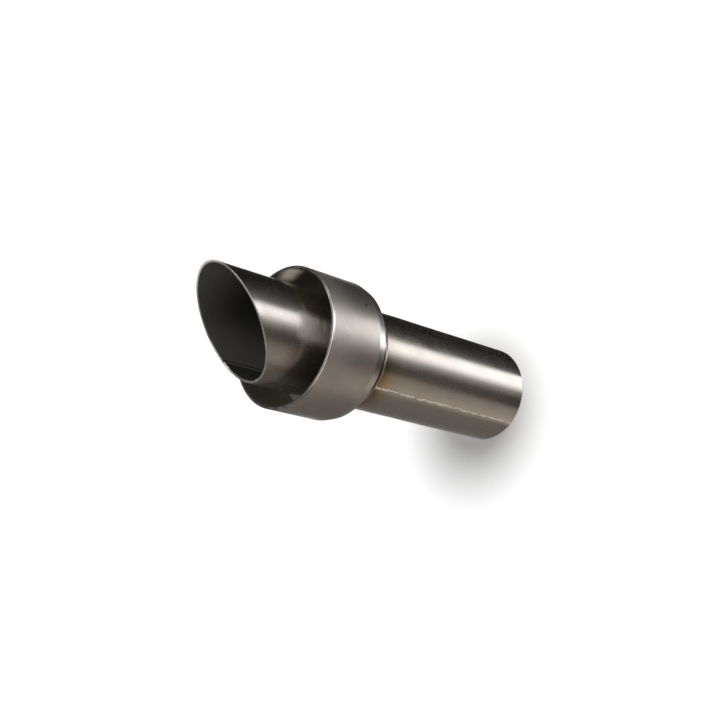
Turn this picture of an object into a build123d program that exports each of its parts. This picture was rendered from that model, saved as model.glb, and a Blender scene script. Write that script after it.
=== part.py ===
# Exhaust baffle insert.
# A square-cut core tube carries a pressed cup collar, and a second tube of the same size runs on
# through the open cup to a slant-cut mouth. Both tubes are welded to the back plate of the cup.
# Millimetres. The origin is the centre of the square-cut end, on which the insert stands.
# +Z runs along the tubes to the mouth, and +X points to the long side of the mouth.

import math
import os

from build123d import *

os.makedirs("parts", exist_ok=True)

# Tubes
tube_od = 45.0
tube_wall = 1.0
overall_length = 178.0
mouth_slant = 35.0
edge_break = 0.2

# Cup collar, drawn from sheet
collar_od = 62.5
collar_wall = 1.2
collar_length = 33.8
collar_back_height = 100.2
shoulder_depth = 6.4
knee_depth = 2.3
knee_inset = 1.0
rim_bevel = 0.3
hole_slip = 0.1

# Welds: the share of the ring between tube and skirt that they cover, how far they run along the
# tubes, and the flat of the back plate that they leave free
weld_share = 0.457
rear_weld_length = 6.4
front_weld_length = 4.0
weld_margin = 0.8
weld_face_step = 30

# Long seam of the core tube, a bead that stands proud of its outside
core_seam_angle = -117.5
core_seam_width = 1.9
core_seam_height = 0.35

# Long seam of the outlet tube, rolled flush outside and a shallow channel inside
outlet_seam_angle = 140.5
outlet_seam_width = 1.1
outlet_seam_depth = 0.2

# Sizes that follow
tube_radius = tube_od / 2
bore_radius = tube_radius - tube_wall
collar_radius = collar_od / 2
rim_height = collar_back_height + collar_length
hole_radius = tube_radius + hole_slip
core_length = collar_back_height + collar_wall
ring_width = collar_radius - tube_radius
weld_reach = weld_share * ring_width
shoulder_width = ring_width - weld_reach - weld_margin
mouth_rise = tube_radius * math.tan(math.radians(mouth_slant))
mouth_height = overall_length - mouth_rise
core_seam_length = collar_back_height - rear_weld_length - edge_break

# The slanted plane that cuts the mouth, facing away from the collar
mouth_plane = Plane(
    origin=(0, 0, mouth_height),
    x_dir=(0, 1, 0),
    z_dir=(-math.sin(math.radians(mouth_slant)), 0, math.cos(math.radians(mouth_slant))),
)


def arc_radius(width, height):
    """Radius of the arc that spans width and rises by height in its middle."""
    return (width / 2) ** 2 / (2 * height) + height / 2


# The rounds that shape the two seams, and how far out their centres lie
core_seam_radius = arc_radius(core_seam_width, core_seam_height)
core_seam_centre = tube_radius + core_seam_height - core_seam_radius
outlet_seam_radius = arc_radius(outlet_seam_width, outlet_seam_depth)
outlet_seam_centre = bore_radius + outlet_seam_depth - outlet_seam_radius


# Core tube, from the square-cut end up through the hole of the collar's back plate
with BuildPart() as core_tube:
    with BuildSketch(Plane.XY):
        Circle(tube_radius)
        Circle(bore_radius, mode=Mode.SUBTRACT)
    extrude(amount=core_length)
    square_cut_edges = core_tube.edges().group_by(Axis.Z)[0]
    chamfer(square_cut_edges, length=edge_break)
    with BuildSketch(Plane.XY.offset(edge_break)):
        with PolarLocations(core_seam_centre, 1, start_angle=core_seam_angle):
            Circle(core_seam_radius)
        Circle(tube_radius - tube_wall / 2, mode=Mode.SUBTRACT)
    extrude(amount=core_seam_length)

# Outlet tube, butted on the end of the core tube and cut to the slanted mouth
with BuildPart() as outlet_tube:
    with BuildSketch(Plane.XY.offset(core_length)):
        Circle(tube_radius)
        Circle(bore_radius, mode=Mode.SUBTRACT)
    extrude(amount=overall_length - core_length)
    split(bisect_by=mouth_plane, keep=Keep.BOTTOM)
    mouth_edges = outlet_tube.edges().filter_by(GeomType.ELLIPSE)
    chamfer(mouth_edges, length=edge_break)
    with BuildSketch(Plane.XY.offset(core_length)):
        with PolarLocations(outlet_seam_centre, 1, start_angle=outlet_seam_angle):
            Circle(outlet_seam_radius)
    extrude(amount=overall_length - core_length, mode=Mode.SUBTRACT)

# Collar, one pressed cup of even wall: back plate with the tube hole, shoulder and straight skirt.
# The shoulder is a steep cone that starts at a crease in the skirt, and a flat one from its knee on.
with BuildPart() as collar:
    with BuildSketch(Plane.XZ) as cup_section:
        with BuildLine():
            Polyline(
                (hole_radius, collar_back_height),
                (collar_radius - shoulder_width, collar_back_height),
                (collar_radius - knee_inset, collar_back_height + knee_depth),
                (collar_radius, collar_back_height + shoulder_depth),
                (collar_radius, rim_height),
            )
            offset(amount=collar_wall, side=Side.LEFT, kind=Kind.INTERSECTION)
        make_face()
        rim_corners = cup_section.vertices().sort_by(Axis.Y)[-2:].sort_by(Axis.X)
        chamfer(rim_corners[0], length=edge_break)
        chamfer(rim_corners[1], length=rim_bevel)
    revolve(axis=Axis.Z)


def weld_section(plate_height, length):
    """Half section of a full fillet weld. A negative length runs down from the plate."""
    face = [
        (
            tube_radius + weld_reach * math.cos(math.radians(angle)),
            plate_height + length * math.sin(math.radians(angle)),
        )
        for angle in range(0, 91, weld_face_step)
    ]
    with BuildSketch(Plane.XZ) as section:
        with BuildLine():
            Polyline((tube_radius, plate_height), *face, close=True)
        make_face()
    return section.sketch


# Fillet weld on each side of the back plate, with a convex face
with BuildPart() as weld_bead_rear:
    add(weld_section(collar_back_height, -rear_weld_length))
    revolve(axis=Axis.Z)

with BuildPart() as weld_bead_front:
    add(weld_section(core_length, front_weld_length))
    revolve(axis=Axis.Z)

core_tube.part.label = "core_tube"
export_step(core_tube.part, "parts/core_tube.step")

outlet_tube.part.label = "outlet_tube"
export_step(outlet_tube.part, "parts/outlet_tube.step")

collar.part.label = "collar"
export_step(collar.part, "parts/collar.step")

weld_bead_rear.part.label = "weld_bead_rear"
export_step(weld_bead_rear.part, "parts/weld_bead_rear.step")

weld_bead_front.part.label = "weld_bead_front"
export_step(weld_bead_front.part, "parts/weld_bead_front.step")
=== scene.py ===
import math

import bpy
import numpy as np
from mathutils import Matrix, Vector


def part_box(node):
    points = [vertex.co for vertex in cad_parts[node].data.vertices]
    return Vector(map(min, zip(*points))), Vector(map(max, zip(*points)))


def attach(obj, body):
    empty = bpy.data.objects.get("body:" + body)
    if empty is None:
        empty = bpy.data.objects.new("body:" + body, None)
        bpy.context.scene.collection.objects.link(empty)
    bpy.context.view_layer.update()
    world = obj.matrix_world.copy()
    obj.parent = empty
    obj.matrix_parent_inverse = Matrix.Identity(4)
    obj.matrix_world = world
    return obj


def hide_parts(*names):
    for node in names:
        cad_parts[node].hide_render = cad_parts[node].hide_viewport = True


# The looks of a welded steel exhaust insert: a core tube, a cup collar and an outlet tube with a
# slant-cut mouth, joined by two ring welds. Metres, with +Z along the tubes to the mouth.

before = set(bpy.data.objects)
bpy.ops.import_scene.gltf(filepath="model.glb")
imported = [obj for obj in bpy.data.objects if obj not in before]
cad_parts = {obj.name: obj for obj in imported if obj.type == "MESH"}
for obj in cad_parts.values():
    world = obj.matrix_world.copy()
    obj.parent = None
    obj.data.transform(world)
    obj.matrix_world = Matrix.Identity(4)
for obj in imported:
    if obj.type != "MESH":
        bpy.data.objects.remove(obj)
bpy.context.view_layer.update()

MM = 0.001

# Sizes read from the frame
core_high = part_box("core_tube")[1]
outlet_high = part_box("outlet_tube")[1]
collar_low, collar_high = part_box("collar")
rear_low, rear_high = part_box("weld_bead_rear")
front_low, front_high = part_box("weld_bead_front")
tube_radius = outlet_high.x
collar_radius = collar_high.x
joint_height = core_high.z
back_height = collar_low.z
rim_height = collar_high.z

# Sizes of the sheet and its edges, as on the solids
TUBE_WALL = 1.0 * MM
COLLAR_WALL = 1.2 * MM
EDGE_BREAK = 0.2 * MM
RIM_BEVEL = 0.3 * MM
MOUTH_SLANT = math.radians(35.0)
HOLE_SLIP = 0.1 * MM
SHOULDER_DEPTH = 6.4 * MM
WELD_MARGIN = 0.8 * MM
KNEE_DEPTH = 2.3 * MM
KNEE_INSET = 1.0 * MM
CORE_SEAM_ANGLE = math.radians(-117.5)
CORE_SEAM_WIDTH = 1.9 * MM
CORE_SEAM_HEIGHT = 0.35 * MM
OUTLET_SEAM_ANGLE = math.radians(140.5)
OUTLET_SEAM_WIDTH = 1.1 * MM
OUTLET_SEAM_DEPTH = 0.2 * MM

# Fine shapes that only the skins have: the outlet's lip, the burr on it, the ridge along its seam,
# a fine edge at each tube's open end, the bends of the cup's sheet and the welds' hidden root
MOUTH_ROUNDING = 0.18 * MM
BURR_ANGLE = math.radians(-157.5)
BURR_SPREAD = math.radians(1.6)
BURR_HEIGHT = 0.45 * MM
SEAM_RIDGE_HEIGHT = 0.12 * MM
FINE_EDGE = 0.1 * MM
SHEET_BEND = 1.2 * MM
WELD_ROOT = 0.3 * MM

# Unevenness of the tubes' wall, the mouth's cut and the cup's wall, and the dimple at the pit
TUBE_WAVE = 0.012 * MM
CUT_WAVE = 0.02 * MM
CUP_WAVE = 0.02 * MM
DIMPLE_DEPTH = 0.16 * MM
DIMPLE_RADIUS = 0.8 * MM

# Lumps of the core seam: their pitch, how far the bead wanders, and from which height up and over
# which length they grow stronger
LUMP_PITCH = 1.7 * MM
SEAM_WANDER = 0.16 * MM
LUMPS_FROM, LUMPS_SPAN = 50 * MM, 35 * MM

# Marks on the cup: angle in degrees, height, slant in degrees, half length and half width
PIT = (-44.0, 112.4 * MM, 0.0, 0.85 * MM, 0.85 * MM)
GLINT = (-45.9, 111.7 * MM, 0.0, 0.55 * MM, 0.55 * MM)
SCRATCH = (-70.9, 125.2 * MM, 60.0, 2.6 * MM, 0.30 * MM)
GLEAM = (23.7, 129.6 * MM, -24.1, 12.0 * MM, 6.0 * MM)

# Edges sharper than this angle stay sharp in the shading
SHARP_ANGLE = math.radians(28.0)

# How finely the skins are divided. The cup has closer columns on its fine side.
CORE_ROWS = 220
CORE_BORE_ROWS = 26
OUTLET_ROWS = 96
OUTLET_BORE_ROWS = 60
CUP_FINE_SIDE = math.radians(-72)
CUP_STEP_OUTSIDE = 0.6 * MM
CUP_STEP_INSIDE = 0.9 * MM

# Number of ripples round each weld
WELD_RIPPLES = 118

# Camera, on the photograph's line of sight and rolled so that the insert lies as it does there
CAMERA_AIM = Vector((-0.6, -1.4, 89.0)) * MM
CAMERA_DISTANCE = 580.0 * MM
CAMERA_AZIMUTH = math.radians(-90.44)
CAMERA_ELEVATION = math.radians(42.53)
CAMERA_ROLL = math.radians(-74.376)
CAMERA_LENS = 65.056

# Studio
FLOOR_SIZE = 8.0
FLOOR_COLOUR = (0.80, 0.80, 0.80, 1)
FLOOR_GLOW = 0.13
FLOOR_GLOW_FAR = 0.60
FLOOR_GLOW_SPAN = (0.10, 1.2)
SKY_LIGHT = 0.25
LAMP_WATTS = 21.5
LAMP_SIZE = 0.42
LAMP_PLACE = Vector((0.12, -0.04, 1.5))

# Cards on the floor, which only the metal sees. They fan out from the foot of the tube, so that
# each one lies along the whole tube in its reflection. Each line gives the face of the tube that
# mirrors the card towards the camera in degrees, its brightness, its warmth, the share of its
# brightness on the far cards, and whether it slides with the upper edge of the white card.
CARDS = (
    (-3.5, 0.30, 0.3, 0.80, 0),
    (-8, 0.05, 0.6, 0.80, 0),
    (-15, 0.022, 0.6, 0.65, 0),
    (-30, 0.018, 0.6, 0.65, 0),
    (-46, 0.045, 0.5, 0.90, 0),
    (-54, 0.10, 0.4, 1.40, 1),
    (-58, 1.75, 0.0, 1.00, 1),
    (-70, 1.75, 0.1, 1.00, 0),
    (-74.5, 0.95, 0.2, 1.00, 0),
    (-78, 0.34, 0.3, 1.00, 0),
    (-86, 0.075, 0.7, 1.00, 0),
    (-95, 0.08, 0.9, 0.90, 0),
    (-100, 0.28, 1.1, 0.80, 0),
    (-108, 0.37, 1.2, 0.75, 0),
    (-116, 0.49, 1.2, 0.68, 0),
    (-120, 0.41, 1.1, 0.68, 0),
    (-124, 0.17, 1.0, 0.90, 0),
    (-132, 0.185, 0.9, 0.85, 0),
    (-144, 0.165, 0.8, 0.70, 0),
    (-158, 0.165, 0.6, 0.70, 0),
    (-168, 0.27, 0.3, 0.45, 0),
    (-172, 0.50, 0.2, 0.50, 0),
)
CARD_STEP = 0.5
CARD_WARM_GREEN = 0.12
CARD_WARM_BLUE = 0.22
CARD_GAP = 0.1 * MM
CARD_LIFT = 0.1 * MM
# The last row of the fan stands up to this height
CARD_REACH = 0.75
CARD_TOP = 0.28
# Past the open edge and the open back, which step in under the collar, the cards are as white as
# the floor. Each pair is a reach from the tube and a face in degrees.
OPEN_SOFTNESS = 1.5
OPEN_EDGE = ((0.0, -3.5), (0.084, -3.5), (0.098, -15.5), (0.146, -15.5), (0.156, -9.5))
OPEN_BACK = ((0.0, -173.0), (0.10, -173.0), (0.114, -164.5), (0.146, -164.5), (0.156, -173.0))
# How far the upper edge of the white card slides: reach, and degrees
WHITE_EDGE_SLIDE = ((0.0, -0.6), (0.056, -1.9), (0.10, -3.3), (0.112, -0.9), (0.144, -1.1),
                    (0.152, -4.9), (0.2, -5.8))
# The near and the far cards lie a little apart: reach, and share of the brightness that is left
CARD_SPLIT = ((0.147, 1.0), (0.150, 0.12), (0.1565, 0.14), (0.1605, 1.0))
# The far cards begin over this reach
FAR_CARDS = (0.149, 0.158)
CARD_ROWS = (0.0, 0.03, 0.06, 0.09, 0.112, 0.13, 0.146, 0.147, 0.150, 0.1525, 0.155, 0.1565,
             0.158, 0.1605, 0.19, 0.25, CARD_REACH)


def grid(rows, angles):
    """Row values as a column and angles as a row, so that a formula of both fills the grid."""
    return np.asarray(rows, float)[:, None], np.asarray(angles, float)[None, :]


def stations(centre, span=5.0, fine=0.22, coarse=0.9):
    """Angles once round the axis, closer together within span degrees of centre."""
    near = np.arange(-span, span, fine)
    rest = np.arange(span, 360.0 - span, coarse)
    return centre + np.radians(np.concatenate([near, rest]))


def waviness(angle, height, seed, turns=8, pitch=30.0 * MM):
    """Smooth unevenness of about unit size that closes on itself round the axis."""
    draw = np.random.RandomState(seed)
    total = 0.0
    for _ in range(24):
        turn = draw.randint(0, turns + 1)
        rise = draw.uniform(-1, 1) * 2 * math.pi / pitch
        total = total + np.cos(turn * angle + rise * height + draw.uniform(0, 2 * math.pi))
    return total / math.sqrt(12)


def apart(angle, centre):
    """Angle measured from centre, between minus and plus half a turn."""
    return (angle - centre + math.pi) % (2 * math.pi) - math.pi


def bump(distance, half_width):
    """Rounded hump, one in the middle and zero from half_width out."""
    return np.clip(1 - (distance / half_width) ** 2, 0, 1) ** 1.5


def skin(name, radius, height, angles, materials, row_material=None):
    """Closed shell of rings round the axis. Rows run up the outside and back down the inside."""
    rows, columns = radius.shape
    points = np.stack(
        [radius * np.cos(angles)[None, :], radius * np.sin(angles)[None, :], height], axis=-1
    ).reshape(-1, 3)
    row, column = np.meshgrid(np.arange(rows), np.arange(columns), indexing="ij")
    up, on = (row + 1) % rows, (column + 1) % columns
    faces = np.stack(
        [row * columns + column, row * columns + on, up * columns + on, up * columns + column],
        axis=-1,
    ).reshape(-1, 4)
    mesh = bpy.data.meshes.new(name)
    mesh.from_pydata(points.tolist(), [], faces.tolist())
    for material in materials:
        mesh.materials.append(material)
    if row_material is not None:
        slots = np.repeat(row_material, columns).astype(np.int32)
        mesh.polygons.foreach_set("material_index", slots)
    mesh.shade_smooth()
    mesh.set_sharp_from_angle(angle=SHARP_ANGLE)
    piece = bpy.data.objects.new(name, mesh)
    bpy.context.scene.collection.objects.link(piece)
    return piece


def put(piece, slot, *nodes):
    """The piece rides on the one body and stands for those nodes; slot is not used."""
    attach(piece, "root")
    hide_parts(*nodes)


class Nodes:
    """Short forms for building a node tree."""

    def __init__(self, tree):
        self.tree = tree
        self.tree.nodes.clear()

    def add(self, kind, inputs=None, **settings):
        node = self.tree.nodes.new(kind)
        for key, value in settings.items():
            setattr(node, key, value)
        for key, value in (inputs or {}).items():
            if isinstance(value, bpy.types.NodeSocket):
                self.tree.links.new(value, node.inputs[key])
            else:
                node.inputs[key].default_value = value
        return node

    def math(self, operation, *values):
        inputs = dict(enumerate(values))
        return self.add("ShaderNodeMath", inputs, operation=operation).outputs[0]

    def times(self, first, second):
        return self.math("MULTIPLY", first, second)

    def plus(self, first, second):
        return self.math("ADD", first, second)

    def minus(self, first, second):
        return self.math("SUBTRACT", first, second)

    def largest(self, first, second):
        return self.math("MAXIMUM", first, second)

    def size(self, value):
        return self.math("ABSOLUTE", value)

    def remap(self, value, from_low, from_high, to_low=0.0, to_high=1.0, smooth=True):
        inputs = {1: from_low, 2: from_high, 3: to_low, 4: to_high, 0: value}
        kind = "SMOOTHSTEP" if smooth else "LINEAR"
        return self.add("ShaderNodeMapRange", inputs, interpolation_type=kind).outputs[0]

    def mix(self, factor, first, second):
        """The first colour where factor is zero and the second where it is one."""
        inputs = {0: factor, 6: first, 7: second}
        return self.add("ShaderNodeMix", inputs, data_type="RGBA", clamp_factor=True).outputs[2]

    def noise(self, vector, scale, detail=3.0, roughness=0.5):
        inputs = {"Vector": vector, "Scale": scale, "Detail": detail, "Roughness": roughness}
        return self.add("ShaderNodeTexNoise", inputs).outputs[0]

    def vector(self, x, y, z):
        return self.add("ShaderNodeCombineXYZ", {0: x, 1: y, 2: z}).outputs[0]


class Metal(Nodes):
    """A metal's node tree with the cylinder coordinates of the point: around, out and up."""

    def __init__(self, name):
        self.material = bpy.data.materials.new(name)
        self.material.use_nodes = True
        super().__init__(self.material.node_tree)
        place = self.add("ShaderNodeTexCoord").outputs["Object"]
        self.place = place
        split = self.add("ShaderNodeSeparateXYZ", {0: place}).outputs
        self.angle = self.math("ARCTAN2", split[1], split[0])
        self.up = split[2]
        square = self.plus(self.times(split[0], split[0]),
                           self.times(split[1], split[1]))
        self.out = self.math("SQRT", square)
        cosine = self.math("COSINE", self.angle)
        sine = self.math("SINE", self.angle)
        self.round_way = (cosine, sine)

    def normal_up(self):
        """How far the surface faces up, from one to minus one."""
        normal = self.add("ShaderNodeNewGeometry").outputs["Normal"]
        return self.add("ShaderNodeSeparateXYZ", {0: normal}).outputs[2]

    def streaks(self, around, along):
        """Noise cells on the wall, so many per radius round it and so many per metre along it."""
        cosine = self.times(self.round_way[0], around)
        sine = self.times(self.round_way[1], around)
        return self.noise(self.vector(cosine, sine, self.times(self.up, along)), 1.0, 4.0, 0.6)

    def towards(self, angle):
        """Cosine of the way round from an angle to the point."""
        return self.plus(self.times(self.round_way[0], math.cos(angle)),
                         self.times(self.round_way[1], math.sin(angle)))

    def near_angle(self, angle, half_width):
        """One at an angle round the tube and zero from half_width out, in metres on the wall."""
        chord_square = self.minus(2.0, self.times(self.towards(angle), 2.0))
        chord = self.math("SQRT", self.largest(chord_square, 0.0))
        return self.remap(self.times(chord, self.out), half_width, 0.0)

    def facing(self, centre, outer, inner):
        """One up to inner degrees to each side of centre and zero from outer degrees out."""
        low, high = math.cos(math.radians(outer)), math.cos(math.radians(inner))
        return self.remap(self.towards(math.radians(centre)), low, high)

    def stroke(self, mark, core=0.4):
        """One on a mark on the cup's wall. The full part takes the core share of its length and
        half that share of its width."""
        angle, height, slant, half_length, half_width = mark
        across = self.times(self.minus(self.angle, math.radians(angle)), collar_radius)
        rise = self.minus(self.up, height)
        cosine, sine = math.cos(math.radians(slant)), math.sin(math.radians(slant))
        length = self.size(self.plus(self.times(across, cosine), self.times(rise, sine)))
        width = self.size(self.minus(self.times(rise, cosine), self.times(across, sine)))
        return self.times(self.remap(length, half_length, core * half_length),
                          self.remap(width, half_width, 0.5 * core * half_width))

    def all_of(self, *shares):
        """Product of the shares."""
        product = shares[0]
        for share in shares[1:]:
            product = self.times(product, share)
        return product

    def finish(self, colour, roughness, metal=1.0, height=None, distance=0.02 * MM):
        """The finished material. A height gives it fine relief."""
        inputs = {"Base Color": colour, "Metallic": metal, "Roughness": roughness}
        if height is not None:
            bump_inputs = {"Height": height, "Distance": distance, "Strength": 1.0}
            inputs["Normal"] = self.add("ShaderNodeBump", bump_inputs).outputs[0]
        shader = self.add("ShaderNodeBsdfPrincipled", inputs)
        self.add("ShaderNodeOutputMaterial", {0: shader.outputs[0]})
        return self.material


STEEL = (0.61, 0.59, 0.56, 1)
STEEL_WARM = (0.57, 0.53, 0.48, 1)
STRAW = (0.52, 0.43, 0.27, 1)
BROWN = (0.30, 0.21, 0.12, 1)
OXIDE = (0.24, 0.23, 0.215, 1)
CREAM = (0.95, 0.85, 0.71, 1)
SHADE_BROWN = (0.20, 0.16, 0.115, 1)
SHADE_BLACK = (0.02, 0.02, 0.02, 1)
BORE_GREY = (0.20, 0.195, 0.185, 1)
REFLECTION_DARK, REFLECTION_LIGHT = (0.20, 0.185, 0.16, 1), (0.50, 0.47, 0.42, 1)
SKIRT_LIGHT, SKIRT_DARK = (0.625, 0.595, 0.56, 1), (0.545, 0.515, 0.48, 1)
SHOULDER_LIGHT, SHOULDER_SHADE = (0.66, 0.64, 0.61, 1), (0.32, 0.31, 0.29, 1)
SHOULDER_HIGHLIGHT = (0.93, 0.91, 0.88, 1)
RIM_RUBBED = (0.86, 0.84, 0.81, 1)
PIT_SHADE = (0.09, 0.085, 0.08, 1)
GLINT_LIGHT = (0.95, 0.94, 0.92, 1)
SCRATCH_LIGHT = (0.88, 0.86, 0.82, 1)
CUP_SHADE, CUP_LIT = (0.13, 0.11, 0.085, 1), (0.50, 0.44, 0.36, 1)
GLEAM_CREAM = (0.95, 0.89, 0.77, 1)
TOE_SHADE = (0.035, 0.027, 0.017, 1)
CUT_DULL = (0.27, 0.255, 0.235, 1), (0.17, 0.16, 0.145, 1)
CUT_LIT = (0.60, 0.58, 0.55, 1), (0.46, 0.44, 0.41, 1)
SHEARED_DULL = (0.07, 0.065, 0.06, 1), (0.16, 0.15, 0.14, 1)
SHEARED_LIT = (0.66, 0.64, 0.60, 1), (0.46, 0.44, 0.41, 1)
SHEARED_HIGHLIGHT = (0.95, 0.93, 0.89, 1)

# Outlet tube: the two fine lines of its seam in the bore, a painted shadow line and a painted
# glint, and where its shades begin and are full.
# The painted shade low down, the dull metal and the painted shade deep in the bore go by height,
# the brushed patch with its painted reflection by way from the weld.
SEAM_SHADOW_ANGLE = math.radians(138.6)
SEAM_GLINT_ANGLE = math.radians(141.0)
SHADE_TOP, SHADE_FULL = 151 * MM, 139 * MM
DULL_TOP, DULL_FULL = 147 * MM, 136 * MM
DEEP_TOP, DEEP_FULL = 168 * MM, 141 * MM
PATCH_END, PATCH_FULL = 46 * MM, 39 * MM
# The skirt's roughness grows between these heights
SATIN_FROM, SATIN_FULL = 114 * MM, 132 * MM


def tube_steel(name, weld_height, weld_reach, tint_length, seam_angle=None):
    """Drawn tube: faint lines both ways, heat tint that fades away from the weld, oxidised bore
    with painted shade in it.
    A tube with a seam angle has a pale bead there. The other one, the outlet tube, has painted
    shade low down and a brushed patch whose colour is a painted reflection, and its seam shows in
    the bore as a painted shadow line and a painted glint."""
    m = Metal(name)
    lines = m.streaks(70.0, 30.0)
    rings = m.streaks(3.0, 2600.0)
    clouds = m.noise(m.place, 90.0, 3.0, 0.55)
    specks = m.noise(m.place, 900.0, 3.0, 0.6)
    colour = m.mix(m.remap(clouds, 0.35, 0.75, 0.0, 0.7), STEEL, STEEL_WARM)
    colour = m.mix(m.remap(lines, 0.45, 0.75, 0.0, 0.3), colour, STEEL_WARM)
    from_weld = m.size(m.minus(m.up, weld_height))
    ragged = m.plus(from_weld, m.times(m.minus(clouds, 0.5), 4.0 * MM))
    start = m.remap(m.facing(-122, 50, 16), 0.0, 1.0, 0.05, 1.0)
    warm = m.remap(ragged, weld_reach + tint_length, weld_reach + 0.3 * tint_length)
    straw = m.remap(ragged, weld_reach + 0.6 * tint_length, weld_reach + 0.2 * tint_length)
    brown = m.remap(ragged, weld_reach + 0.3 * tint_length, weld_reach + 0.05 * tint_length)
    colour = m.mix(m.all_of(warm, start, 0.9), colour, STEEL_WARM)
    colour = m.mix(m.all_of(straw, start, 0.85), colour, STRAW)
    colour = m.mix(m.all_of(brown, m.remap(start, 0.0, 1.0, 0.12, 1.0), 0.85), colour, BROWN)
    inside = m.remap(m.out, tube_radius - 0.35 * TUBE_WALL, tube_radius - 0.75 * TUBE_WALL)
    outside = m.minus(1.0, inside)
    rough = m.remap(clouds, 0.3, 0.7, 0.19, 0.25)
    rough = m.plus(rough, m.remap(lines, 0.35, 0.7, 0.0, 0.05))
    metal = m.minus(1.0, m.times(inside, 0.55))
    relief = m.plus(m.times(rings, 0.35), m.times(lines, 0.65))
    if seam_angle is not None:
        edge = m.times(m.minus(specks, 0.5), 0.16 * MM)
        proud = m.plus(m.minus(m.out, tube_radius), edge)
        bead = m.times(m.remap(proud, 0.04 * MM, 0.09 * MM), m.near_angle(seam_angle, 3.0 * MM))
        colour = m.mix(m.times(bead, 0.95), colour, CREAM)
        rough = m.plus(rough, m.times(bead, 0.22))
        metal = m.minus(metal, m.times(bead, 0.55))
    else:
        low = m.times(m.remap(m.up, DULL_TOP, DULL_FULL), outside)
        sides = m.largest(m.facing(-112, 30, 12), m.facing(-34, 34, 14))
        # Painted shade: brown, low down on two sides of the outlet tube, fading out upwards
        cup_shade = m.all_of(m.remap(m.up, SHADE_TOP, SHADE_FULL), sides, outside, 0.82)
        colour = m.mix(cup_shade, colour, SHADE_BROWN)
        metal = m.minus(metal, m.times(low, 0.14))
        # Brushed patch low on the outlet: rougher, with fine streaks; its colour is a painted
        # reflection, dark brown and lighter in its middle
        scuff_and_reflection = m.all_of(m.remap(ragged, PATCH_END, PATCH_FULL), m.facing(-73, 19, 5), outside)
        scuff_and_reflection = m.times(scuff_and_reflection, m.remap(m.streaks(5.0, 800.0), 0.35, 0.65, 0.5, 1.0))
        brushed_reflection = m.mix(m.facing(-75, 17, 12), REFLECTION_DARK, REFLECTION_LIGHT)
        colour = m.mix(scuff_and_reflection, colour, brushed_reflection)
        rough = m.plus(rough, m.times(scuff_and_reflection, 0.50))
    bore = m.mix(m.remap(clouds, 0.3, 0.7), OXIDE, BORE_GREY)
    # Painted shade in the bore: near black, deeper down on one side and in broad patches on other
    # sides
    deep_shade = m.times(m.remap(m.up, DEEP_TOP, DEEP_FULL), m.facing(40, 65, 20))
    for share in (m.times(deep_shade, 0.85), m.times(m.facing(170, 30, 26), 0.75),
                  m.times(m.facing(-30, 60, 20), 0.6), m.times(m.facing(35, 85, 50), 0.4)):
        bore = m.mix(share, bore, SHADE_BLACK)
    if seam_angle is None:
        bore = m.mix(m.near_angle(SEAM_SHADOW_ANGLE, 0.5 * MM), bore, SHADE_BLACK)
        bore = m.mix(m.times(m.near_angle(SEAM_GLINT_ANGLE, 0.45 * MM), 0.5), bore, STEEL)
    colour = m.mix(inside, colour, bore)
    rough = m.plus(rough, m.times(inside, 0.25))
    return m.finish(colour, rough, metal, relief, 0.002 * MM)


def collar_steel(name):
    """Satin skirt with fine rings from its dressing wheel, a pit and a scratch. The shoulder is
    left brighter, with a painted highlight on one side and painted shade on another, and the pit
    has painted shade and a painted glint. Inside, the cup has painted shade, lighter on the near
    wall and darkest at the bottom, and one soft painted gleam."""
    m = Metal(name)
    rings = m.streaks(4.0, 1900.0)
    grain = m.noise(m.place, 2600.0, 2.0, 0.5)
    clouds = m.noise(m.place, 70.0, 3.0, 0.5)
    colour = m.mix(m.remap(clouds, 0.35, 0.7), SKIRT_LIGHT, SKIRT_DARK)
    crease = back_height + SHOULDER_DEPTH
    skirt = m.remap(m.up, crease - 0.1 * MM, crease + 0.3 * MM)
    # Painted shade on one side of the shoulder
    shaded_shoulder = m.mix(m.facing(-86, 17, 6), SHOULDER_LIGHT, SHOULDER_SHADE)
    colour = m.mix(skirt, shaded_shoulder, colour)
    rubbed = m.remap(m.up, rim_height - 1.6 * MM, rim_height - 0.7 * MM)
    colour = m.mix(rubbed, colour, RIM_RUBBED)
    # Painted highlight on one side of the shoulder
    painted_highlight = m.times(m.facing(-62, 20, 9), m.minus(1.0, skirt))
    colour = m.mix(painted_highlight, colour, SHOULDER_HIGHLIGHT)
    # Painted shade in the pit and a painted glint on its lip
    colour = m.mix(m.times(m.stroke(PIT), 0.85), colour, PIT_SHADE)
    colour = m.mix(m.stroke(GLINT), colour, GLINT_LIGHT)
    colour = m.mix(m.times(m.stroke(SCRATCH), 0.5), colour, SCRATCH_LIGHT)
    inside = m.remap(m.out, collar_radius - 0.35 * COLLAR_WALL, collar_radius - 0.8 * COLLAR_WALL)
    inside = m.times(inside, skirt)
    bottom_shade = m.times(m.remap(m.normal_up(), 0.02, 0.15), m.facing(10, 100, 60))
    rough = m.plus(m.remap(clouds, 0.3, 0.7, 0.02, 0.06),
                   m.remap(skirt, 0.0, 1.0, 0.26, 0.32))
    rough = m.plus(rough, m.remap(m.up, SATIN_FROM, SATIN_FULL, 0.0, 0.10))
    metal = m.minus(1.0, m.times(inside, 0.27))
    # Painted shade inside the cup, lighter on the near wall where it is lit, darkest at the bottom
    cup_shading = m.mix(m.facing(-76, 26, 8), CUP_SHADE, CUP_LIT)
    colour = m.mix(m.times(inside, 0.95), colour, cup_shading)
    colour = m.mix(m.times(bottom_shade, 0.9), colour, CUP_SHADE)
    # Painted highlight: one soft cream gleam on the far inside wall
    gleam = m.times(m.stroke(GLEAM, core=0.25), inside)
    colour = m.mix(gleam, colour, GLEAM_CREAM)
    rough = m.plus(rough, m.times(m.remap(gleam, 0.0, 0.5), 0.62))
    relief = m.plus(m.times(rings, 0.5), m.times(grain, 0.5))
    return m.finish(colour, rough, metal, relief, 0.015 * MM)


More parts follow.
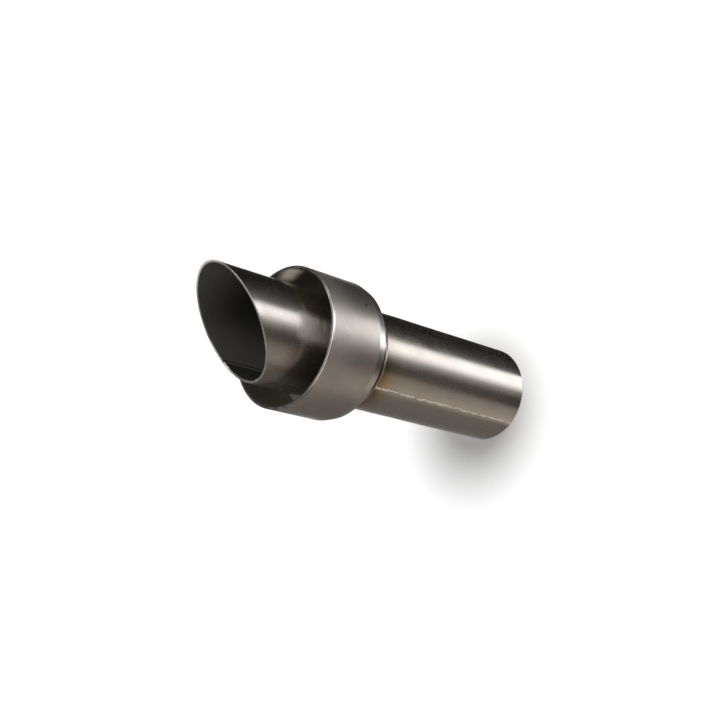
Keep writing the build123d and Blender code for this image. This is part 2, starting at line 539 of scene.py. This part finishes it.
def weld_steel(name):
    """As-welded bead: straw to brown tint in patches, and painted shade at the toe by the plate."""
    m = Metal(name)
    patches = m.noise(m.place, 220.0, 4.0, 0.6)
    grain = m.noise(m.place, 1800.0, 2.0, 0.5)
    start = m.facing(-120, 55, 22)
    colour = m.mix(m.all_of(m.remap(patches, 0.3, 0.6, 0.35, 1.0), start), STEEL, STRAW)
    colour = m.mix(m.all_of(m.remap(patches, 0.5, 0.75), start), colour, BROWN)
    near_plate = m.size(m.minus(m.up, back_height))
    # Painted shade at the weld's toe, where it meets the plate
    wide_toe_shade = m.times(m.remap(near_plate, 3.3 * MM, 2.7 * MM), m.facing(-97, 27, 16))
    toe_shade = m.largest(m.remap(near_plate, 1.9 * MM, 1.4 * MM), wide_toe_shade)
    colour = m.mix(m.times(toe_shade, 0.97), colour, TOE_SHADE)
    rough = m.plus(m.remap(patches, 0.3, 0.7, 0.22, 0.34), m.times(toe_shade, 0.2))
    return m.finish(colour, rough, 1.0, grain, 0.02 * MM)


def cut_steel(name):
    """Cut and deburred edge of the mouth, with a painted highlight: lighter on two stretches of its
    far side.
    """
    m = Metal(name)
    grain = m.noise(m.place, 1500.0, 3.0, 0.6)
    dull = m.mix(m.remap(grain, 0.3, 0.7), *CUT_DULL)
    lit_colour = m.mix(m.remap(grain, 0.3, 0.7), *CUT_LIT)
    # Painted highlight where the lip catches the light
    cut_lit_side = m.largest(m.facing(28, 44, 20), m.times(m.facing(126, 12, 5), 0.6))
    colour = m.mix(cut_lit_side, dull, lit_colour)
    rough = m.remap(grain, 0.3, 0.7, 0.26, 0.40)
    return m.finish(colour, rough, 1.0, grain, 0.02 * MM)


def sheared_steel(name):
    """Face of the cup's rim as the press left it: dull, with a dark middle line and a brighter
    outer bevel. Towards the light it is painted lighter, with a painted highlight on its inner edge
    line and at one spot; away from the light the face is painted darker.
    """
    m = Metal(name)
    grain = m.noise(m.place, 1500.0, 3.0, 0.6)
    patches = m.noise(m.place, 300.0, 3.0, 0.5)
    middle = collar_radius - 0.44 * COLLAR_WALL
    valley = m.remap(m.size(m.minus(m.out, middle)), 0.30 * MM, 0.20 * MM)
    # Painted light: the rim is lighter on the side towards the light
    rim_lit_side = m.facing(-78, 54, 28)
    bevel = m.remap(m.out, collar_radius - 1.2 * RIM_BEVEL, collar_radius - 0.8 * RIM_BEVEL)
    face = m.largest(valley, m.minus(1.0, m.largest(rim_lit_side, bevel)))
    rim_lit_side = m.remap(rim_lit_side, 0.0, 1.0, 0.2, 1.0)
    lit_colour = m.mix(m.remap(grain, 0.3, 0.7), *SHEARED_LIT)
    dull = m.mix(m.remap(patches, 0.4, 0.7), *SHEARED_DULL)
    inner_line = m.remap(m.out, middle - 0.1 * MM, middle - 0.3 * MM)
    # Painted highlight on the inner edge line and at one spot
    painted_highlight = m.largest(inner_line, m.facing(-68, 20, 10))
    lit_colour = m.mix(painted_highlight, lit_colour, SHEARED_HIGHLIGHT)
    lit_colour = m.mix(rim_lit_side, dull, lit_colour)
    rough = m.remap(face, 0.0, 1.0, 0.26, 0.45)
    # Painted shade: the face darker away from the lit side
    face_shade = m.mix(m.remap(rim_lit_side, 0.2, 1.0, 0.65, 0.0), dull, SHADE_BLACK)
    return m.finish(m.mix(face, lit_colour, face_shade), rough, 1.0, grain, 0.02 * MM)


def core_tube(steel, cut):
    """Long tube with its square-cut end and the uneven bead of its long seam."""
    angles = stations(CORE_SEAM_ANGLE, coarse=1.2)
    bore = tube_radius - TUBE_WALL
    outside = np.linspace(FINE_EDGE, joint_height, CORE_ROWS)
    inside = np.linspace(joint_height, EDGE_BREAK, CORE_BORE_ROWS)
    base_radius = np.concatenate([[tube_radius - FINE_EDGE], np.full(CORE_ROWS, tube_radius),
                                  np.full(CORE_BORE_ROWS, bore), [bore + EDGE_BREAK]])
    base_height = np.concatenate([[0.0], outside, inside, [0.0]])
    rows, turn = grid(base_radius, angles)
    level, _ = grid(base_height, angles)
    is_outside = np.concatenate([[0], np.ones(CORE_ROWS), np.zeros(CORE_BORE_ROWS + 1)])[:, None]
    centre = CORE_SEAM_ANGLE + SEAM_WANDER / tube_radius * waviness(0.0, level, 11, pitch=7 * MM)
    across = apart(turn, centre) * tube_radius
    strong = np.clip((level - LUMPS_FROM) / LUMPS_SPAN, 0.3, 1)
    uneven = waviness(0.0, level, 12, pitch=5 * MM)
    drift = 1.5 * waviness(0.0, level, 13, pitch=12 * MM)
    lumps = np.sin(2 * math.pi * level / LUMP_PITCH + drift)
    half = 0.5 * CORE_SEAM_WIDTH * (0.80 + 0.12 * uneven + 0.16 * strong * lumps)
    tall = CORE_SEAM_HEIGHT * np.clip(0.60 + 0.22 * uneven + 0.22 * strong * lumps, 0.15, 1.0)
    seam = tall * bump(across, half)
    seam = seam * np.clip((rear_low.z + 0.5 * MM - level) / (1.5 * MM), 0, 1)
    uneven_wall = TUBE_WAVE * waviness(turn, level, 14, turns=9, pitch=26 * MM)
    radius = rows + is_outside * (seam + uneven_wall)
    height = level + 0.0 * turn
    row_material = np.zeros(len(base_radius))
    row_material[[0, -2, -1]] = 1
    piece = skin("core_tube_skin", radius, height, angles, [steel, cut], row_material)
    put(piece, "core_steel", "core_tube")


def outlet_tube(steel, cut):
    """Front tube with its slant-cut mouth, a burr on the cut and the seam line inside."""
    angles = stations(OUTLET_SEAM_ANGLE)
    bore = tube_radius - TUBE_WALL
    slope = math.tan(MOUTH_SLANT)
    middle = outlet_high.z - (tube_radius - EDGE_BREAK * math.cos(MOUTH_SLANT)) * slope
    round_off = np.radians(np.linspace(0, 90, 7))
    lip_radius = np.concatenate([tube_radius - MOUTH_ROUNDING * (1 - np.cos(round_off)),
                                 [bore + FINE_EDGE, bore]])
    lip_drop = np.concatenate([MOUTH_ROUNDING * (1 - np.sin(round_off)), [0, FINE_EDGE]])
    out_rows, in_rows, lip_rows = OUTLET_ROWS, OUTLET_BORE_ROWS, len(lip_radius)
    base_radius = np.concatenate([np.full(out_rows, tube_radius), lip_radius,
                                  np.full(in_rows, bore)])
    share = np.concatenate([np.linspace(0, 0.995, out_rows), np.ones(lip_rows),
                            np.linspace(0.995, 0, in_rows)])
    drop = np.concatenate([np.full(out_rows, MOUTH_ROUNDING), lip_drop,
                           np.full(in_rows, FINE_EDGE)])
    rows, turn = grid(base_radius, angles)
    share, _ = grid(share, angles)
    drop, _ = grid(drop, angles)
    is_outside = np.concatenate([np.ones(out_rows), np.zeros(lip_rows + in_rows)])[:, None]
    is_inside = np.concatenate([np.zeros(out_rows + lip_rows - 1), np.ones(in_rows + 1)])[:, None]
    burr = BURR_HEIGHT * bump(apart(turn, BURR_ANGLE), BURR_SPREAD)
    cut_wave = CUT_WAVE * waviness(turn, 0.0, 21, turns=30)
    top = np.minimum(middle + rows * np.cos(turn) * slope + burr + cut_wave, outlet_high.z)
    height = joint_height + (top - drop - joint_height) * share
    across = apart(turn, OUTLET_SEAM_ANGLE) * bore
    channel = OUTLET_SEAM_DEPTH * bump(across, 0.5 * OUTLET_SEAM_WIDTH)
    ridge = SEAM_RIDGE_HEIGHT * bump(across - 0.75 * MM, 0.5 * MM)
    uneven_wall = TUBE_WAVE * waviness(turn, height, 22, turns=9, pitch=26 * MM)
    radius = rows + is_inside * (channel - ridge) + (is_inside + is_outside) * uneven_wall
    row_material = np.zeros(len(base_radius))
    row_material[out_rows + 2:out_rows + lip_rows - 1] = 1
    piece = skin("outlet_tube_skin", radius, height, angles, [steel, cut], row_material)
    put(piece, "outlet_steel", "outlet_tube")


def offset_line(points, distance):
    """The open line of points moved to its left by distance, with mitred corners."""
    points = np.asarray(points, float)
    way = np.diff(points, axis=0)
    way /= np.linalg.norm(way, axis=1)[:, None]
    left = np.stack([-way[:, 1], way[:, 0]], axis=1)
    moved = [points[0] + distance * left[0]]
    for before, after, point in zip(left[:-1], left[1:], points[1:-1]):
        mitre = before + after
        moved.append(point + distance * 2 * mitre / (mitre @ mitre))
    moved.append(points[-1] + distance * left[-1])
    return np.array(moved)


def rounded(points, radius, steps=5):
    """The line of points with each corner rounded by a short curve."""
    line = [points[0]]
    for before, corner, after in zip(points[:-2], points[1:-1], points[2:]):
        back = (before - corner) / np.linalg.norm(before - corner)
        on = (after - corner) / np.linalg.norm(after - corner)
        turn = math.acos(max(-1.0, min(1.0, float(-back @ on))))
        reach = min(radius * math.tan(turn / 2), 0.4 * np.linalg.norm(before - corner),
                    0.4 * np.linalg.norm(after - corner))
        start, end = corner + back * reach, corner + on * reach
        for k in range(steps + 1):
            t = k / steps
            line.append((1 - t) ** 2 * start + 2 * t * (1 - t) * corner + t ** 2 * end)
    line.append(points[-1])
    return np.array(line)


def divided(points, step):
    """The line of points with long stretches divided, so that no step is longer than step."""
    line = [points[0]]
    for start, end in zip(points[:-1], points[1:]):
        count = max(1, math.ceil(np.linalg.norm(end - start) / step))
        line.extend(start + (end - start) * k / count for k in range(1, count + 1))
    return np.array(line)


def collar(steel, rim_steel):
    """Cup collar: back plate, shoulder with its crease, skirt and bevelled rim."""
    outer = np.array([
        (tube_radius + HOLE_SLIP, back_height),
        (rear_high.x + WELD_MARGIN, back_height),
        (collar_radius - KNEE_INSET, back_height + KNEE_DEPTH),
        (collar_radius, back_height + SHOULDER_DEPTH),
        (collar_radius, rim_height),
    ])
    inner = offset_line(outer, COLLAR_WALL)
    outer[-1, 1] -= RIM_BEVEL
    inner[-1, 1] -= EDGE_BREAK
    outside = divided(rounded(outer, SHEET_BEND), CUP_STEP_OUTSIDE)
    inside = divided(rounded(inner, SHEET_BEND), CUP_STEP_INSIDE)[::-1]
    rim = np.array([
        (collar_radius - RIM_BEVEL, rim_height),
        (collar_radius - COLLAR_WALL + EDGE_BREAK, rim_height),
    ])
    section = np.concatenate([outside, rim, inside])
    angles = stations(CUP_FINE_SIDE, span=12, fine=0.4, coarse=0.9)
    rows, turn = grid(section[:, 0], angles)
    level, _ = grid(section[:, 1], angles)
    uneven = CUP_WAVE * (waviness(turn, level, 31, turns=7, pitch=40 * MM) - 2.2)
    pit_angle, pit_height = math.radians(PIT[0]), PIT[1]
    away = np.hypot(apart(turn, pit_angle) * collar_radius, level - pit_height)
    is_outside = (np.arange(len(section)) < len(outside))[:, None]
    dimple = -DIMPLE_DEPTH * bump(away, DIMPLE_RADIUS) * is_outside
    radius = rows + np.where(level > back_height + SHOULDER_DEPTH, uneven, 0.3 * uneven) + dimple
    radius = np.minimum(radius, collar_radius)
    height = np.broadcast_to(level, radius.shape)
    row_material = np.zeros(len(section))
    row_material[len(outside) - 2:len(outside) + 2] = 1
    piece = skin("collar_skin", radius, height, angles, [steel, rim_steel], row_material)
    put(piece, "collar_steel", "collar")


def weld_bead(name, node, low, high, plate_height, steel, seed):
    """Ring weld with crescent ripples on its convex face, on either side of the back plate."""
    length = high.z - low.z
    down = -1.0 if plate_height > low.z + 0.5 * length else 1.0
    reach = high.x - tube_radius
    angles = np.radians(np.arange(0, 360, 0.5))
    face = np.radians(np.linspace(0, 90, 19))
    tilt, turn = grid(face, angles)
    phase = WELD_RIPPLES * turn + 2.6 * np.sin(2 * tilt) + 1.2 * waviness(turn, 0.0, seed, turns=12)
    ripple = (0.5 + 0.5 * np.cos(phase)) ** 1.5 * np.sin(2 * tilt) ** 0.7
    swell = waviness(turn, 0.0, seed + 1, turns=14)
    size = 1 - 0.02 * (1.5 + swell) - 0.006 * (1 - ripple) * np.sin(2 * tilt)
    radius = tube_radius + reach * np.cos(tilt) * size
    height = plate_height + down * length * np.sin(tilt) * size
    radius = np.concatenate([radius, np.full((2, len(angles)), tube_radius - WELD_ROOT)])
    last = height[-1:, :]
    height = np.concatenate([height, last, np.full((1, len(angles)), plate_height)])
    if down < 0:
        radius, height = radius[::-1], height[::-1]
    piece = skin(name, radius, height, angles, [steel])
    put(piece, "weld_metal", node)


def seen_directly(nodes):
    """One for camera, glossy and transmission rays, and zero for the light that falls on things."""
    path = nodes.add("ShaderNodeLightPath").outputs
    seen = nodes.largest(path["Is Camera Ray"], path["Is Glossy Ray"])
    return nodes.largest(seen, path["Is Transmission Ray"])


def studio_world():
    """White surroundings as far as the camera and the metal see, and a plain soft light."""
    world = bpy.data.worlds.new("studio_world")
    bpy.context.scene.world = world
    world.use_nodes = True
    nodes = Nodes(world.node_tree)
    strength = nodes.remap(seen_directly(nodes), 0.0, 1.0, SKY_LIGHT, 1.0, smooth=False)
    background = nodes.add("ShaderNodeBackground", {"Color": (1, 1, 1, 1), "Strength": strength})
    nodes.add("ShaderNodeOutputWorld", {0: background.outputs[0]})


def studio_floor():
    """Pale matte floor that keeps the shadow and is seen as white further out."""
    half = FLOOR_SIZE / 2
    mesh = bpy.data.meshes.new("floor")
    corners = [(-half, -half, 0), (half, -half, 0), (half, half, 0), (-half, half, 0)]
    mesh.from_pydata(corners, [], [(0, 1, 2, 3)])
    floor = bpy.data.objects.new("floor", mesh)
    bpy.context.scene.collection.objects.link(floor)
    material = bpy.data.materials.new("floor_white")
    material.use_nodes = True
    nodes = Nodes(material.node_tree)
    place = nodes.add("ShaderNodeTexCoord").outputs["Object"]
    away = nodes.add("ShaderNodeVectorMath", {0: place}, operation="LENGTH").outputs["Value"]
    glow = nodes.times(seen_directly(nodes),
                      nodes.remap(away, *FLOOR_GLOW_SPAN, FLOOR_GLOW, FLOOR_GLOW_FAR, smooth=False))
    shader = nodes.add("ShaderNodeBsdfPrincipled", {
        "Base Color": FLOOR_COLOUR, "Roughness": 1.0, "Specular IOR Level": 0.0,
        "Emission Color": (1, 1, 1, 1), "Emission Strength": glow,
    })
    nodes.add("ShaderNodeOutputMaterial", {0: shader.outputs[0]})
    material.cycles.emission_sampling = "NONE"
    mesh.materials.append(material)


def studio_cards():
    """Fan of graded cards on the floor and standing at its edge, seen only in the metal."""
    stops = np.array(CARDS, float)[::-1]
    faces_at = np.arange(stops[0, 0], stops[-1, 0] + CARD_STEP / 2, CARD_STEP)
    share_far = np.interp(faces_at, stops[:, 0], stops[:, 3])
    warm = np.interp(faces_at, stops[:, 0], stops[:, 2])
    way = 2 * np.radians(faces_at) - CAMERA_AZIMUTH
    foot = tube_radius + CARD_GAP
    levels = [CARD_LIFT] * len(CARD_ROWS) + [CARD_TOP]
    points, colours = [], []
    for reach, level in zip(CARD_ROWS + (CARD_REACH,), levels):
        slide = stops[:, 4] * np.interp(reach, *zip(*WHITE_EDGE_SLIDE))
        light = np.interp(faces_at, stops[:, 0] + slide, stops[:, 1])
        far = np.clip((reach - FAR_CARDS[0]) / (FAR_CARDS[1] - FAR_CARDS[0]), 0, 1)
        light = light * (1 + (share_far - 1) * far) * np.interp(reach, *zip(*CARD_SPLIT))
        edge, back = np.interp(reach, *zip(*OPEN_EDGE)), np.interp(reach, *zip(*OPEN_BACK))
        past_edge = np.clip((faces_at - edge) / OPEN_SOFTNESS, 0, 1)
        past_edge += np.clip((back - faces_at) / OPEN_SOFTNESS, 0, 1)
        light = light + (1 - light) * past_edge
        tint = warm * (1 - past_edge)
        points.append(np.stack([foot * np.cos(np.radians(faces_at)) + reach * np.cos(way),
                                foot * np.sin(np.radians(faces_at)) + reach * np.sin(way),
                                np.full(len(way), level)], axis=-1))
        colours.append(np.stack([light, light * (1 - CARD_WARM_GREEN * tint),
                                 light * (1 - CARD_WARM_BLUE * tint), np.ones(len(way))], axis=-1))
    count = len(faces_at)
    faces = [(r * count + k, r * count + k + 1, (r + 1) * count + k + 1, (r + 1) * count + k)
             for r in range(len(points) - 1) for k in range(count - 1)]
    mesh = bpy.data.meshes.new("cards")
    mesh.from_pydata(np.concatenate(points).tolist(), [], faces)
    shade = mesh.color_attributes.new("shade", "FLOAT_COLOR", "POINT")
    shade.data.foreach_set("color", np.concatenate(colours).astype(np.float32).ravel())
    cards = bpy.data.objects.new("cards", mesh)
    bpy.context.scene.collection.objects.link(cards)
    material = bpy.data.materials.new("card_light")
    material.use_nodes = True
    nodes = Nodes(material.node_tree)
    colour = nodes.add("ShaderNodeAttribute", attribute_name="shade").outputs["Color"]
    light = nodes.add("ShaderNodeEmission", {"Color": colour, "Strength": 1.0})
    nodes.add("ShaderNodeOutputMaterial", {0: light.outputs[0]})
    material.cycles.emission_sampling = "NONE"
    mesh.materials.append(material)
    cards.visible_camera = False
    cards.visible_diffuse = False
    cards.visible_shadow = False
    cards.visible_transmission = False


def studio_lamp():
    """One soft lamp, nearly overhead, which keeps the shadow close to the foot."""
    light = bpy.data.lights.new("soft_lamp", "AREA")
    light.energy = LAMP_WATTS
    light.shape = "DISK"
    light.size = LAMP_SIZE
    lamp = bpy.data.objects.new("soft_lamp", light)
    lamp.location = LAMP_PLACE
    lamp.rotation_euler = (-LAMP_PLACE).to_track_quat("-Z", "Y").to_euler()
    bpy.context.scene.collection.objects.link(lamp)


def studio_camera():
    """Camera on the photograph's line of sight."""
    data = bpy.data.cameras.new("camera")
    data.lens = CAMERA_LENS
    data.clip_start = 0.01
    camera = bpy.data.objects.new("camera", data)
    flat = math.cos(CAMERA_ELEVATION)
    way = Vector((flat * math.cos(CAMERA_AZIMUTH), flat * math.sin(CAMERA_AZIMUTH),
                  math.sin(CAMERA_ELEVATION)))
    look = (-way).to_track_quat("-Z", "Y").to_matrix().to_4x4()
    place = Matrix.Translation(CAMERA_AIM + way * CAMERA_DISTANCE)
    camera.matrix_world = place @ look @ Matrix.Rotation(CAMERA_ROLL, 4, "Z")
    bpy.context.scene.collection.objects.link(camera)
    bpy.context.scene.camera = camera


cut = cut_steel("cut_steel")
weld = weld_steel("weld_steel")
rear_length, front_length = rear_high.z - rear_low.z, front_high.z - front_low.z
core_tube(tube_steel("core_steel_look", rear_high.z, rear_length, 22.0 * MM, CORE_SEAM_ANGLE), cut)
outlet_tube(tube_steel("outlet_steel_look", front_low.z, front_length, 42.0 * MM), cut)
collar(collar_steel("collar_steel_look"), sheared_steel("sheared_steel"))
weld_bead("rear_weld_skin", "weld_bead_rear", rear_low, rear_high, back_height, weld, 41)
weld_bead("front_weld_skin", "weld_bead_front", front_low, front_high, joint_height, weld, 51)

studio_world()
studio_floor()
studio_cards()
studio_lamp()
studio_camera()
bpy.context.scene.view_settings.view_transform = "Standard"

bpy.context.view_layer.update()
